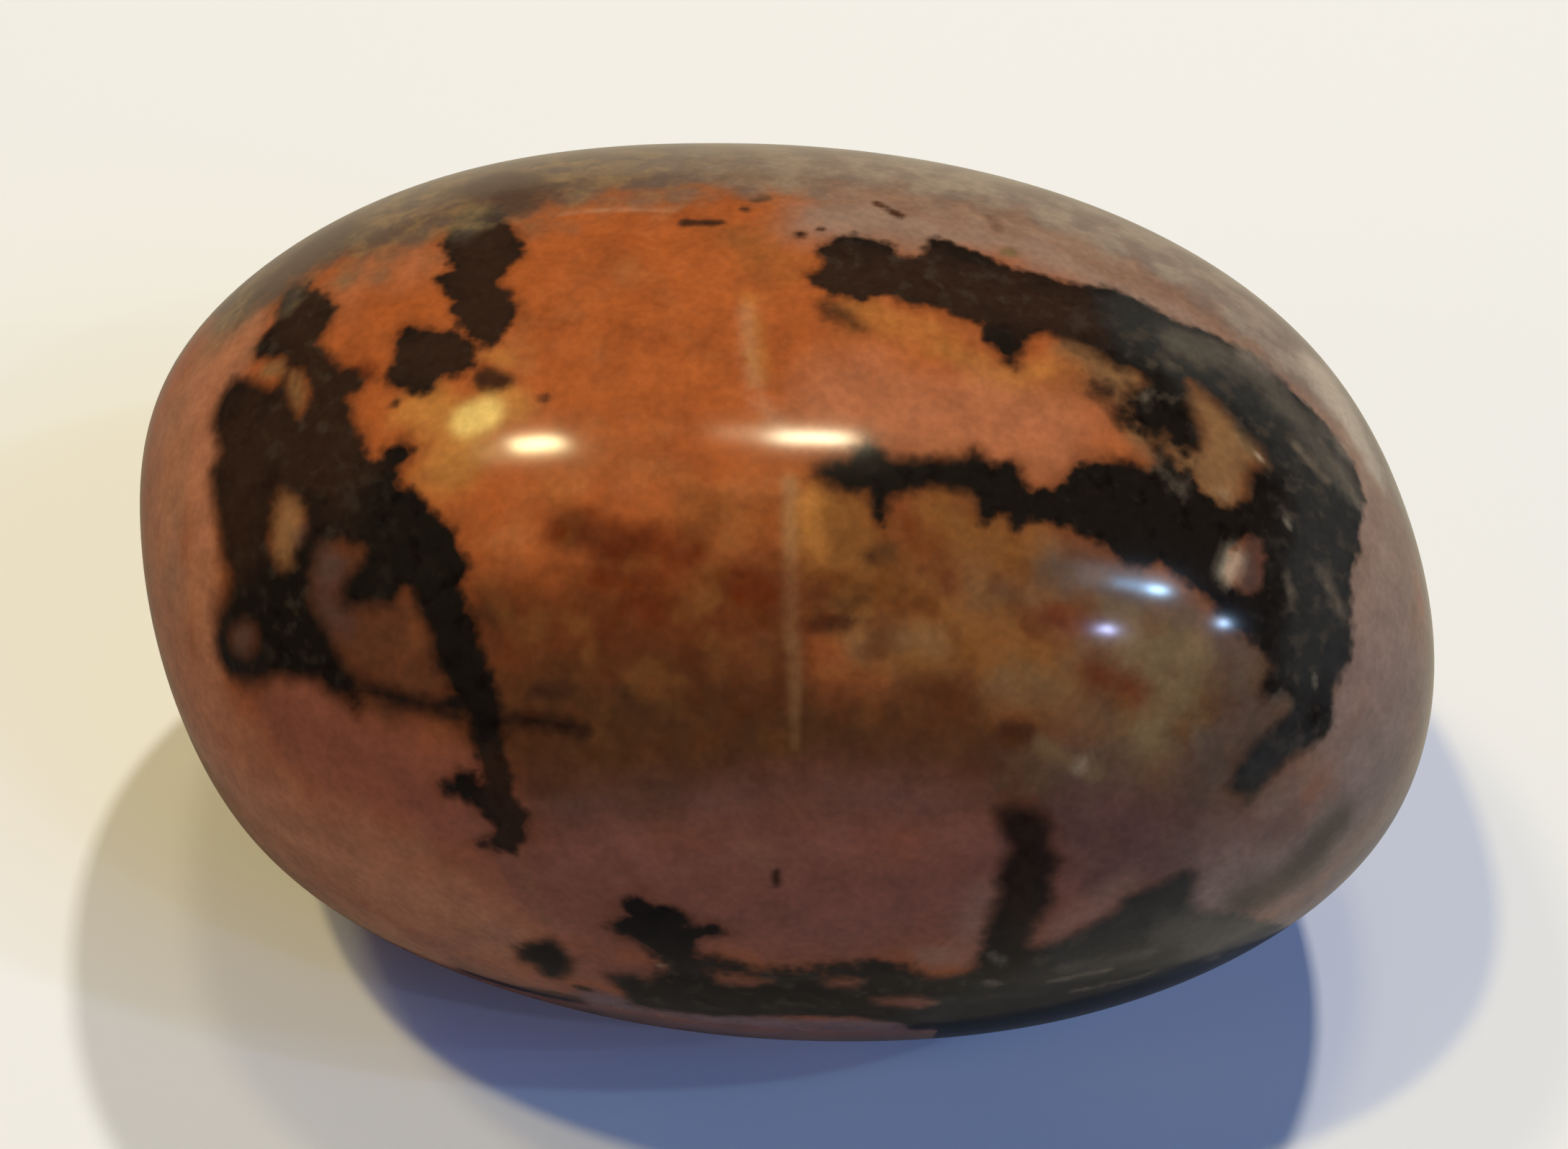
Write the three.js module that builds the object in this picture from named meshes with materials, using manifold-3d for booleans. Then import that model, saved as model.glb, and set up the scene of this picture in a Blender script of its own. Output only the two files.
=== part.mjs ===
// A polished rhodonite stone: one natural piece, ground and tumbled to a fat rounded block.
// Units are millimetres. +Z is up and +X runs along the longest extent.
// The origin is on the surface that the stone rests on, under the middle of the stone.

import * as THREE from 'three';
import { mergeVertices } from 'three/addons/utils/BufferGeometryUtils.js';
import Module from 'manifold-3d';

// Driving dimensions

// The six broad faces of the block. Each looks the way that lon and lat give, in degrees
// (lon turns from +X towards +Y, lat rises from level), and lies reach mm from the centre.
const BROAD_FACES = [
  { name: 'right end', lon: 19, lat: 0, reach: 28.6 },
  { name: 'left end', lon: 199, lat: 0, reach: 29.0 },
  { name: 'front', lon: -81, lat: 0, reach: 19.9 },
  { name: 'back', lon: 99, lat: 0, reach: 20.3 },
  { name: 'top', lon: 0, lat: 90, reach: 18.3 },
  { name: 'underside', lon: 0, lat: -90, reach: 18.3 },
];

// How fully the block fills its corners: 2 is an egg, and more is squarer.
const FULLNESS = 2.17;

// Soft flats that grinding left on the block's shoulders, given as the broad faces are.
const SOFT_FLATS = [
  { name: 'low front right', lon: -48, lat: -30, reach: 28.0 },
  { name: 'low front', lon: -101, lat: -33, reach: 24.1 },
  { name: 'left tip', lon: -161, lat: -7, reach: 28.45 },
  { name: 'high back left', lon: 144, lat: 26, reach: 29.5 },
  { name: 'high back', lon: 92, lat: 35, reach: 24.3 },
  { name: 'right tip', lon: 16, lat: 5, reach: 30.4 },
  { name: 'low back right', lon: 40, lat: -36, reach: 25.2 },
  { name: 'low back left', lon: 148, lat: -32, reach: 25.6 },
];

// How crisply the flats meet the rounding around them: polishing has left them very soft.
const FLAT_CRISPNESS = 12;

// The small flat spot that the stone rests on is cut this far up from its lowest point.
const FOOT_DEPTH = 0.4;

// Where the block's centre stands from the origin, which is under the middle of the outer box.
const CENTRE = { x: -0.16, y: -0.18, z: BROAD_FACES[5].reach - FOOT_DEPTH };

// Each edge of the icosahedron that the skin starts from is split into this many parts.
const SKIN_PARTS = 21;

const STONE_COLOUR = 0x9a5a41;
const STONE_ROUGHNESS = 0.18;

// The skin

// The unit vector that a face looks along.
function facing({ lon, lat }) {
  const turn = THREE.MathUtils.degToRad(lon);
  const rise = THREE.MathUtils.degToRad(lat);
  return new THREE.Vector3(
    Math.cos(rise) * Math.cos(turn),
    Math.cos(rise) * Math.sin(turn),
    Math.sin(rise),
  );
}

// Adds up how near a direction comes to each face, with a power that blends the faces.
function closeness(direction, faces, power) {
  let sum = 0;
  for (const face of faces) {
    const share = direction.dot(face.normal) / face.reach;
    sum += Math.max(0, share) ** power;
  }
  return sum;
}

const broadFaces = BROAD_FACES.map((face) => ({ ...face, normal: facing(face) }));
const softFlats = SOFT_FLATS.map((face) => ({ ...face, normal: facing(face) }));

// The distance from the block's centre to the skin in a direction.
function reachOfSkin(direction) {
  const block = closeness(direction, broadFaces, FULLNESS) ** (FLAT_CRISPNESS / FULLNESS);
  const flats = closeness(direction, softFlats, FLAT_CRISPNESS);
  return (block + flats) ** (-1 / FLAT_CRISPNESS);
}

// The whole block, with an evenly faceted skin and no foot yet.
function makeBlock() {
  const skin = new THREE.IcosahedronGeometry(1, SKIN_PARTS - 1);
  const points = skin.attributes.position;
  const direction = new THREE.Vector3();
  for (let i = 0; i < points.count; i += 1) {
    direction.fromBufferAttribute(points, i).normalize();
    direction.multiplyScalar(reachOfSkin(direction));
    points.setXYZ(i, direction.x + CENTRE.x, direction.y + CENTRE.y, direction.z + CENTRE.z);
  }
  return skin;
}

// The foot

const wasm = await Module();
wasm.setup();

// Turns a closed three.js mesh into a solid that can be cut.
function toSolid(geometry) {
  const bare = geometry.clone();
  bare.deleteAttribute('normal');
  bare.deleteAttribute('uv');
  const merged = mergeVertices(bare);
  return new wasm.Manifold(new wasm.Mesh({
    numProp: 3,
    vertProperties: new Float32Array(merged.attributes.position.array),
    triVerts: new Uint32Array(merged.index.array),
  }));
}

// Turns a cut solid back into a three.js mesh.
function toGeometry(solid) {
  const mesh = solid.getMesh();
  const geometry = new THREE.BufferGeometry();
  geometry.setAttribute('position', new THREE.BufferAttribute(mesh.vertProperties, mesh.numProp));
  geometry.setIndex(new THREE.BufferAttribute(mesh.triVerts, 1));
  geometry.computeVertexNormals();
  return geometry;
}

// A box under the resting surface, large enough to take off all that lies below it.
function makeFloorCut() {
  const width = 2 * BROAD_FACES[1].reach;
  const cut = new THREE.BoxGeometry(width, width, width);
  cut.translate(0, 0, -width / 2);
  return cut;
}

const stoneSolid = toSolid(makeBlock()).subtract(toSolid(makeFloorCut()));

// The stone

const polishedRhodonite = new THREE.MeshStandardMaterial({
  name: 'polished_rhodonite',
  color: STONE_COLOUR,
  roughness: STONE_ROUGHNESS,
  metalness: 0,
});

const stone = new THREE.Mesh(toGeometry(stoneSolid), polishedRhodonite);
stone.name = 'rhodonite_stone';

const rhodonite = new THREE.Group();
rhodonite.name = 'rhodonite';
rhodonite.add(stone);

export default rhodonite;
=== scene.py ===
import math

import bpy
import numpy as np
from mathutils import Matrix, Vector, noise
from mathutils.bvhtree import BVHTree


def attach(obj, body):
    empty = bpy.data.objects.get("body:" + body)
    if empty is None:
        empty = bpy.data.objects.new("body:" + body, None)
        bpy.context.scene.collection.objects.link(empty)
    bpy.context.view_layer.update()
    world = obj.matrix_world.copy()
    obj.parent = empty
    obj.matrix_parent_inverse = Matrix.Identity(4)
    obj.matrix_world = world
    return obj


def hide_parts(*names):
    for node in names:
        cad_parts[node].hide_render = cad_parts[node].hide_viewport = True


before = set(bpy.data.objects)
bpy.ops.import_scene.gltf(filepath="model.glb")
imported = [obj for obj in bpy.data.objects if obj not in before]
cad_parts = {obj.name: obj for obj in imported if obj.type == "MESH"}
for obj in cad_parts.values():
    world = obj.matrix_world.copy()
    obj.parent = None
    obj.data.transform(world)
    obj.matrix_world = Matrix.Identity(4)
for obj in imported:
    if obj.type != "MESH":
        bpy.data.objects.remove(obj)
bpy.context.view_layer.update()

# The camera
# A hand-held close view from in front and above. Its rise, turn, distance and focal length are those
# at which the stone's outline falls on the outline in the photo. Photo pixels are 2177 x 1595.
MM = 0.001
PHOTO_WIDTH = 2177
PHOTO_HEIGHT = 1595
CAMERA_RISE = math.radians(55)
CAMERA_TURN = math.radians(8.5)
CAMERA_DISTANCE = 125.0
FOCAL_PIXELS = 3884
CENTRE_PIXEL = (1077, 820)
SENSOR_WIDTH = 36.0
NEAR_LIMIT = 0.01
STONE_CENTRE = np.array([-0.16, -0.18, 17.9])

camera_back = np.array([
    math.sin(CAMERA_TURN) * math.cos(CAMERA_RISE),
    -math.cos(CAMERA_TURN) * math.cos(CAMERA_RISE),
    math.sin(CAMERA_RISE),
])
camera_right = np.array([math.cos(CAMERA_TURN), math.sin(CAMERA_TURN), 0.0])
camera_up = np.cross(camera_back, camera_right)
camera_place = STONE_CENTRE + CAMERA_DISTANCE * camera_back

camera_data = bpy.data.cameras.new("camera")
camera_data.sensor_width = SENSOR_WIDTH
camera_data.lens = FOCAL_PIXELS / PHOTO_WIDTH * SENSOR_WIDTH
camera_data.shift_x = (PHOTO_WIDTH / 2 - CENTRE_PIXEL[0]) / PHOTO_WIDTH
camera_data.shift_y = (CENTRE_PIXEL[1] - PHOTO_HEIGHT / 2) / PHOTO_WIDTH
camera_data.clip_start = NEAR_LIMIT
camera_data.dof.use_dof = False
camera = bpy.data.objects.new("camera", camera_data)
camera.location = camera_place * MM
camera.rotation_mode = "QUATERNION"
camera.rotation_quaternion = Vector(-camera_back).to_track_quat("-Z", "Y")
bpy.context.scene.collection.objects.link(camera)
bpy.context.scene.camera = camera

# The stone's form
# One natural piece of rhodonite, sawn to a block, ground on its shoulders and tumbled until every
# edge has run into the next. It lies on a small flat spot on its underside.

# Each face looks the way of its (lon, lat) in degrees and reaches that far in mm from the centre.
BROAD_FACES = {
    "right end": (19, 0, 28.6),
    "left end": (199, 0, 29.0),
    "front": (-81, 0, 19.9),
    "back": (99, 0, 20.3),
    "top": (0, 90, 18.3),
    "underside": (0, -90, 18.3),
}
SOFT_FLATS = {
    "low front right": (-48, -30, 28.0),
    "low front": (-101, -33, 24.1),
    "left tip": (-161, -7, 28.45),
    "high back left": (144, 26, 29.5),
    "high back": (92, 35, 24.3),
    "right tip": (16, 5, 30.4),
    "low back right": (40, -36, 25.2),
    "low back left": (148, -32, 25.6),
}
FORM_SIZES = {
    "fullness": 2.17,
    "flat crispness": 12.0,
    "foot height": 17.9,
    "foot softness": 0.12,
    "wave height": 0.03,
    "wave length": 9.0,
}
WAVE_SEED = 3.0
CELLS_PER_SIDE = 126
MERGE_DISTANCE = 1e-6


def facing(lon, lat):
    """The unit vector that looks the way of a longitude and a latitude in degrees."""
    turn, rise = math.radians(lon), math.radians(lat)
    return (math.cos(rise) * math.cos(turn), math.cos(rise) * math.sin(turn), math.sin(rise))


def put(tree, value, socket):
    """Links a node or an output to a socket, or sets the socket to a value; None leaves it alone."""
    if value is None:
        return
    if isinstance(value, bpy.types.Node):
        value = value.outputs[0]
    if isinstance(value, bpy.types.NodeSocket):
        tree.links.new(value, socket)
    else:
        socket.default_value = value


def add_node(tree, kind, inputs=(), **settings):
    """A node with its settings, and its first inputs filled in order."""
    made = tree.nodes.new(kind)
    for name, value in settings.items():
        setattr(made, name, value)
    for socket, value in zip(made.inputs, inputs):
        put(tree, value, socket)
    return made


def reckon(tree, operation, *inputs):
    """A node that works out one number from others."""
    return add_node(tree, "ShaderNodeMath", inputs, operation=operation)


def turn_vector(tree, operation, *inputs):
    """A node that works on a vector."""
    return add_node(tree, "ShaderNodeVectorMath", inputs, operation=operation)


def scale_vector(tree, vector, factor):
    """A node that makes a vector longer or shorter."""
    made = turn_vector(tree, "SCALE", vector)
    put(tree, factor, made.inputs["Scale"])
    return made


def closeness(tree, direction, faces, sizes, power):
    """The sum over the faces of how near the direction comes to each, raised to a power."""
    total = 0.0
    for name, (lon, lat, _) in faces.items():
        share = turn_vector(tree, "DOT_PRODUCT", direction, facing(lon, lat)).outputs["Value"]
        share = reckon(tree, "MAXIMUM", reckon(tree, "DIVIDE", share, sizes[name]), 0.0)
        total = reckon(tree, "ADD", reckon(tree, "POWER", share, power), total)
    return total


def build_form_tree(finish):
    """Geometry Nodes: an even ball of square cells, pushed out to the skin of the soft block."""
    tree = bpy.data.node_groups.new("stone_form", "GeometryNodeTree")
    tree.interface.new_socket("Geometry", in_out="OUTPUT", socket_type="NodeSocketGeometry")
    reaches = {name: reach for name, (_, _, reach) in {**BROAD_FACES, **SOFT_FLATS}.items()}
    for name, size in {**reaches, **FORM_SIZES}.items():
        socket = tree.interface.new_socket(name, in_out="INPUT", socket_type="NodeSocketFloat")
        socket.default_value = size
    cells = tree.interface.new_socket("cells per side", in_out="INPUT", socket_type="NodeSocketInt")
    cells.default_value = CELLS_PER_SIDE
    sizes = add_node(tree, "NodeGroupInput").outputs

    corners = reckon(tree, "ADD", sizes["cells per side"], 1)
    cube = add_node(tree, "GeometryNodeMeshCube", ((2, 2, 2), corners, corners, corners))
    even = scale_vector(tree, add_node(tree, "GeometryNodeInputPosition"), math.pi / 4)
    direction = turn_vector(tree, "NORMALIZE", turn_vector(tree, "TANGENT", even))

    block = closeness(tree, direction, BROAD_FACES, sizes, sizes["fullness"])
    ratio = reckon(tree, "DIVIDE", sizes["flat crispness"], sizes["fullness"])
    block = reckon(tree, "POWER", block, ratio)
    flats = closeness(tree, direction, SOFT_FLATS, sizes, sizes["flat crispness"])
    root = reckon(tree, "DIVIDE", -1.0, sizes["flat crispness"])
    reach = reckon(tree, "POWER", reckon(tree, "ADD", block, flats), root)

    wave = add_node(tree, "ShaderNodeTexNoise", noise_dimensions="4D")
    put(tree, scale_vector(tree, direction, reach), wave.inputs["Vector"])
    put(tree, reckon(tree, "DIVIDE", 1.0, sizes["wave length"]), wave.inputs["Scale"])
    put(tree, WAVE_SEED, wave.inputs["W"])
    swell = reckon(tree, "SUBTRACT", wave, 0.5)
    reach = reckon(tree, "ADD", reach, reckon(tree, "MULTIPLY", swell, sizes["wave height"]))

    parts = add_node(tree, "ShaderNodeSeparateXYZ", (scale_vector(tree, direction, reach),)).outputs
    foot_level = reckon(tree, "MULTIPLY", sizes["foot height"], -1.0)
    footed = reckon(tree, "SMOOTH_MAX", parts["Z"], foot_level, sizes["foot softness"])
    skin = add_node(tree, "ShaderNodeCombineXYZ", (parts["X"], parts["Y"], footed))
    skin = scale_vector(tree, turn_vector(tree, "ADD", skin, tuple(STONE_CENTRE)), MM)

    moved = add_node(tree, "GeometryNodeSetPosition", (cube, None, skin))
    closed = add_node(tree, "GeometryNodeMergeByDistance", (moved, None, MERGE_DISTANCE))
    smooth = add_node(tree, "GeometryNodeSetShadeSmooth", (closed,))
    whole = add_node(tree, "GeometryNodeRealizeInstances", (smooth,))
    painted = add_node(tree, "GeometryNodeSetMaterial", (whole,))
    painted.inputs["Material"].default_value = finish
    add_node(tree, "NodeGroupOutput", (painted,))
    return tree


stone_finish = bpy.data.materials.new("polished_rhodonite")
stone_finish.use_nodes = True
form_tree = build_form_tree(stone_finish)

former = bpy.data.objects.new("stone_former", bpy.data.meshes.new("stone_former"))
bpy.context.scene.collection.objects.link(former)
form = former.modifiers.new("form", "NODES")
form.node_group = form_tree
identifiers = {item.name: item.identifier for item in form_tree.interface.items_tree}
form[identifiers["cells per side"]] = CELLS_PER_SIDE
for size_name, size in FORM_SIZES.items():
    form[identifiers[size_name]] = size

formed = former.evaluated_get(bpy.context.evaluated_depsgraph_get())
stone_mesh = bpy.data.meshes.new_from_object(formed)
stone_mesh.name = "rhodonite"
former.modifiers.remove(form)
bpy.data.objects.remove(former)
stone = bpy.data.objects.new("rhodonite", stone_mesh)
bpy.context.scene.collection.objects.link(stone)

# The dark veins
# Black manganese oxide that grew along old cracks while the stone was still rock. It is only colour
# in the polished skin, so it is kept as a depth in mm: above zero inside a vein, below zero outside.
# The outlines are in photo pixels, and each is laid on the skin where the camera sees it.

VEIN_OUTLINES = {
    "top vein": [
        (655, 285), (690, 290), (705, 313), (722, 330), (726, 351), (709, 372), (690, 390), (711, 411),
        (717, 430), (709, 451), (680, 485), (660, 470), (638, 451), (624, 432), (630, 417), (601, 386),
        (632, 374), (617, 355), (615, 334), (632, 310),
    ],
    "blob under the top vein": [
        (565, 453), (597, 459), (642, 463), (659, 484), (655, 509), (638, 522), (613, 520), (605, 538),
        (592, 549), (551, 540), (534, 526), (549, 493), (553, 470),
    ],
    "left mass and long vein": [
        (405, 400), (430, 400), (451, 411), (467, 426), (459, 447), (440, 476), (463, 497), (472, 513),
        (497, 513), (509, 526), (500, 543), (480, 551), (490, 585), (503, 610), (509, 631), (522, 643),
        (534, 627), (560, 612), (576, 629), (551, 652), (550, 672), (580, 683), (597, 704), (634, 739),
        (638, 760), (651, 785), (640, 818), (643, 839), (660, 862), (664, 885), (686, 948), (702, 1000),
        (695, 1035), (709, 1072), (709, 1102), (734, 1131), (728, 1170), (713, 1183), (663, 1172),
        (688, 1156), (686, 1143), (655, 1114), (615, 1100), (613, 1089), (640, 1073), (655, 1072),
        (672, 1093), (672, 1070), (651, 1010), (645, 990), (615, 988), (555, 980), (520, 968), (500, 955),
        (495, 989), (483, 970), (455, 960), (443, 945), (413, 943), (384, 937), (350, 942), (318, 937),
        (303, 910), (300, 880), (305, 855), (318, 830), (322, 802), (309, 772), (305, 743), (299, 700),
        (292, 656), (305, 631), (295, 585), (301, 563), (322, 526), (345, 526), (375, 540), (388, 532),
        (398, 520), (395, 497), (355, 497), (353, 484), (367, 465), (384, 447), (388, 426), (399, 410),
    ],
    "right network": [
        (1117, 382), (1137, 376), (1146, 363), (1133, 347), (1171, 326), (1192, 326), (1242, 340),
        (1246, 355), (1279, 359), (1292, 330), (1317, 334), (1408, 375), (1433, 377), (1483, 394),
        (1550, 402), (1600, 427), (1625, 444), (1679, 461), (1750, 498), (1804, 552), (1850, 600),
        (1879, 645), (1894, 689), (1888, 736), (1887, 766), (1874, 798), (1876, 866), (1876, 912),
        (1853, 951), (1850, 1007), (1835, 1025), (1788, 1054), (1750, 1095), (1735, 1113), (1706, 1092),
        (1718, 1066), (1747, 1025), (1790, 985), (1785, 970), (1755, 975), (1750, 960), (1765, 925),
        (1735, 885), (1712, 875), (1700, 855), (1667, 820), (1625, 795), (1612, 780), (1575, 791),
        (1546, 766), (1508, 745), (1483, 730), (1433, 722), (1417, 728), (1408, 745), (1400, 720),
        (1388, 712), (1371, 728), (1360, 720), (1350, 687), (1300, 676), (1242, 689), (1233, 697),
        (1227, 731), (1212, 714), (1204, 681), (1171, 681), (1133, 658), (1133, 647), (1179, 635),
        (1204, 606), (1221, 622), (1240, 637), (1333, 636), (1354, 625), (1379, 646), (1408, 640),
        (1417, 660), (1429, 680), (1450, 680), (1475, 674), (1485, 652), (1508, 643), (1565, 640),
        (1596, 652), (1610, 640), (1600, 612), (1570, 592), (1555, 580), (1560, 560), (1570, 545),
        (1592, 530), (1575, 515), (1550, 511), (1525, 492), (1462, 465), (1446, 461), (1429, 469),
        (1415, 490), (1410, 513), (1394, 498), (1383, 482), (1367, 473), (1362, 448), (1325, 436),
        (1300, 426), (1267, 422), (1225, 407), (1200, 417), (1154, 409), (1142, 401),
    ],
    "blob by the lower rim": [
        (717, 1317), (738, 1308), (767, 1306), (794, 1333), (790, 1350), (775, 1358), (754, 1354),
        (746, 1338), (725, 1333),
    ],
    "lower band with its branches": [
        (867, 1250), (883, 1244), (908, 1258), (933, 1258), (958, 1275), (950, 1287), (992, 1283),
        (1008, 1296), (967, 1304), (965, 1327), (1000, 1329), (1050, 1346), (1100, 1346), (1158, 1338),
        (1212, 1333), (1242, 1335), (1292, 1358), (1325, 1356), (1354, 1346), (1367, 1300), (1388, 1242),
        (1383, 1221), (1392, 1196), (1404, 1179), (1388, 1154), (1383, 1125), (1404, 1119), (1433, 1123),
        (1454, 1133), (1458, 1150), (1454, 1167), (1469, 1196), (1458, 1217), (1460, 1250), (1438, 1283),
        (1425, 1317), (1467, 1310), (1525, 1279), (1550, 1267), (1562, 1246), (1608, 1229), (1646, 1208),
        (1660, 1212), (1654, 1250), (1667, 1267), (1708, 1267), (1800, 1290), (1700, 1400), (1400, 1480),
        (1290, 1460), (1300, 1425), (1275, 1431), (1250, 1421), (1192, 1412), (1117, 1410), (992, 1410),
        (908, 1400), (879, 1394), (846, 1354), (879, 1354), (900, 1362), (925, 1342), (900, 1317),
        (883, 1304), (844, 1287), (858, 1277), (875, 1271), (862, 1258),
    ],
}
# Islands of stone that the veins grew around, in photo pixels.
VEIN_GAPS = {
    "mauve gap": [
        (434, 843), (430, 800), (440, 757), (470, 750), (505, 757), (508, 775), (480, 800), (473, 820),
        (475, 840), (500, 843), (546, 839), (560, 812), (576, 827), (580, 852), (597, 872), (605, 927),
        (622, 943), (632, 962), (601, 972), (542, 956), (497, 943), (480, 927), (467, 902), (451, 868),
    ],
    "tan island": [
        (388, 683), (405, 685), (422, 702), (426, 727), (422, 752), (409, 764), (407, 785), (392, 791),
        (376, 768), (378, 718), (380, 697),
    ],
    "pink loop": [
        (322, 870), (340, 860), (352, 868), (358, 885), (356, 903), (343, 913), (325, 906), (318, 888),
    ],
    "olive gap": [
        (400, 512), (415, 512), (428, 530), (430, 552), (415, 580), (403, 555), (398, 530),
    ],
    "tan island on the right": [
        (1650, 528), (1664, 535), (1690, 560), (1722, 598), (1752, 625), (1760, 646), (1734, 652),
        (1729, 691), (1712, 704), (1692, 702), (1662, 676), (1652, 657), (1622, 630), (1624, 616),
        (1650, 632), (1668, 628), (1668, 603), (1652, 560),
    ],
    "mauve island on the right": [
        (1696, 800), (1708, 766), (1729, 745), (1752, 745), (1757, 775), (1750, 820), (1735, 828),
        (1704, 815),
    ],
    "gap in the lower band": [(988, 1350), (1020, 1352), (1071, 1362), (1046, 1369), (1000, 1367)],
    "second gap in the lower band": [(1150, 1356), (1196, 1360), (1190, 1371), (1150, 1369)],
    "third gap in the lower band": [(1212, 1385), (1275, 1383), (1300, 1390), (1280, 1400), (1215, 1394)],
}
# Threads and spots, as a half width in mm and a line through photo pixels.
SEEN_THREADS = {
    "spot under the right network": (0.42, [(1575, 549)]),
    "second spot under the right network": (0.5, [(1562, 578), (1575, 580)]),
    "third spot under the right network": (0.35, [(1532, 545)]),
    "line before the long vein": (0.24, [(490, 944), (550, 972), (640, 992)]),
    "line past the long vein": (0.24, [(690, 1000), (745, 1001), (790, 1008), (808, 1014)]),
    "band along the lower left rim": (0.3, [(650, 1350), (700, 1367), (750, 1380), (800, 1390)]),
}
# The same for the sides that the photo doesn't show, as lines through (lon, lat) on the stone.
HIDDEN_THREADS = {
    "top vein down the back": (1.7, [(138, 40), (131, 22), (124, 4), (131, -14), (126, -34)]),
    "first branch on the back": (0.8, [(126, 8), (112, 0), (100, 3), (88, -6)]),
    "second branch on the back": (0.7, [(132, 20), (148, 12), (163, 6)]),
    "blob on the back": (1.5, [(108, 26), (102, 22)]),
    "right network over the end": (1.6, [(22, 26), (36, 16), (48, 2), (44, -14), (56, -30)]),
    "branch of the right network": (0.7, [(48, 2), (64, 6), (78, 15), (90, 14)]),
    "lower band round the end": (2.6, [(-62, -23), (-45, -20), (-28, -11), (-12, -9), (4, -14)]),
    "lower band on the underside": (2.2, [(-50, -26), (-44, -46), (-20, -62), (24, -68)]),
    "vein on the left underside": (1.2, [(-140, -28), (-164, -38), (162, -46), (128, -46)]),
    "branch on the left underside": (0.7, [(-164, -38), (-150, -56), (-110, -68)]),
    "blob low on the back": (1.3, [(82, -26), (90, -30)]),
    "blob on the left end": (1.0, [(172, -14)]),
    "thread along the lower left rim": (0.5, [(-124, -12), (-113, -19), (-104, -27)]),
}
DEPTH_LIMIT = 2.5
# The steps in which lines are laid on the skin: photo pixels on the seen side, degrees elsewhere.
OUTLINE_STEP = 20
HIDDEN_STEP = 3
SMALLEST_SQUARE = 1e-6
# Facing is the cosine of the skin's turn to the camera. Seen veins fade past the first value, at the
# loss in mm for each unit of it, and outlines end at the second.
RIM_LIMIT = -0.1
OUTLINE_LIMIT = 3 * RIM_LIMIT
RIM_LOSS = 30.0
# Hidden veins swell in lobes, by a share of their half width, and bend by some mm. Where the bends
# fall is drawn at random from the seed.
HIDDEN_SWELL = 1.5
HIDDEN_LOBE = 3.2
LOBE_SMOOTHNESS = 0.9
LOBE_SPREAD = 2.0
LOBE_LAYERS = 3
HIDDEN_BEND = 2.6
HIDDEN_BEND_LENGTH = 7.0
BEND_SEED = 1796106607

skin_points = np.empty(len(stone_mesh.vertices) * 3)
stone_mesh.vertices.foreach_get("co", skin_points)
skin_points = skin_points.reshape(-1, 3) / MM
skin_normals = np.empty(len(stone_mesh.vertices) * 3)
stone_mesh.vertices.foreach_get("normal", skin_normals)
skin_normals = skin_normals.reshape(-1, 3)
skin_tree = BVHTree.FromPolygons(
    skin_points.tolist(), [tuple(polygon.vertices) for polygon in stone_mesh.polygons])

to_camera = camera_place - skin_points
ahead = to_camera @ camera_back
skin_pixels = np.column_stack([
    CENTRE_PIXEL[0] - FOCAL_PIXELS * (to_camera @ camera_right) / ahead,
    CENTRE_PIXEL[1] + FOCAL_PIXELS * (to_camera @ camera_up) / ahead,
])
turned_to_camera = np.sum(skin_normals * to_camera, axis=1) / np.linalg.norm(to_camera, axis=1)


def seen_at(pixel):
    """The place on the skin, in mm, that the camera sees at a photo pixel, or None past the rim."""
    across, down = pixel[0] - CENTRE_PIXEL[0], pixel[1] - CENTRE_PIXEL[1]
    ray = across * camera_right - down * camera_up - FOCAL_PIXELS * camera_back
    return skin_tree.ray_cast(Vector(camera_place), Vector(ray).normalized())[0]


def met_at(lon_lat):
    """The place on the skin, in mm, that lies the way of a (lon, lat) from the stone's centre."""
    return skin_tree.ray_cast(Vector(STONE_CENTRE), Vector(facing(*lon_lat)))[0]


def lay_on_skin(points, find, step):
    """A line laid on the skin, as the ends of short pieces; what misses the skin is left out."""
    pieces = []
    if len(points) == 1:
        points = points * 2
    for first, last in zip(points[:-1], points[1:]):
        shares = np.linspace(0, 1, max(1, round(math.dist(first, last) / step)) + 1)
        ends = [find(np.array(first) * (1 - share) + np.array(last) * share) for share in shares]
        pieces += [(near, far) for near, far in zip(ends[:-1], ends[1:]) if None not in (near, far)]
    return np.array(pieces)


def distance_to(pieces, limit, points=skin_points):
    """How far each point of the skin is from the nearest piece of a line, in mm, up to a limit."""
    nearest = np.full(len(points), limit)
    for start, end in pieces:
        low, high = np.minimum(start, end) - limit, np.maximum(start, end) + limit
        close = np.flatnonzero(np.all((points > low) & (points < high), axis=1))
        along = end - start
        offset = points[close] - start
        share = np.clip(offset @ along / max(along @ along, SMALLEST_SQUARE), 0, 1)
        distance = np.linalg.norm(offset - share[:, None] * along, axis=1)
        nearest[close] = np.minimum(nearest[close], distance)
    return nearest


def depth_in_outline(outline):
    """How deep inside an outline in photo pixels each point of the skin lies, in mm."""
    closed = outline + outline[:1]
    across, down = skin_pixels.T
    inside = np.zeros(len(skin_pixels), dtype=bool)
    for (x0, y0), (x1, y1) in zip(closed[:-1], closed[1:]):
        if y0 != y1:
            beside = across < x0 + (down - y0) * (x1 - x0) / (y1 - y0)
            inside ^= ((y0 > down) != (y1 > down)) & beside
    distance = distance_to(lay_on_skin(closed, seen_at, OUTLINE_STEP), DEPTH_LIMIT)
    depth = np.where(inside & (turned_to_camera > OUTLINE_LIMIT), distance, -distance)
    return depth - RIM_LOSS * np.maximum(0, RIM_LIMIT - turned_to_camera)


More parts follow.
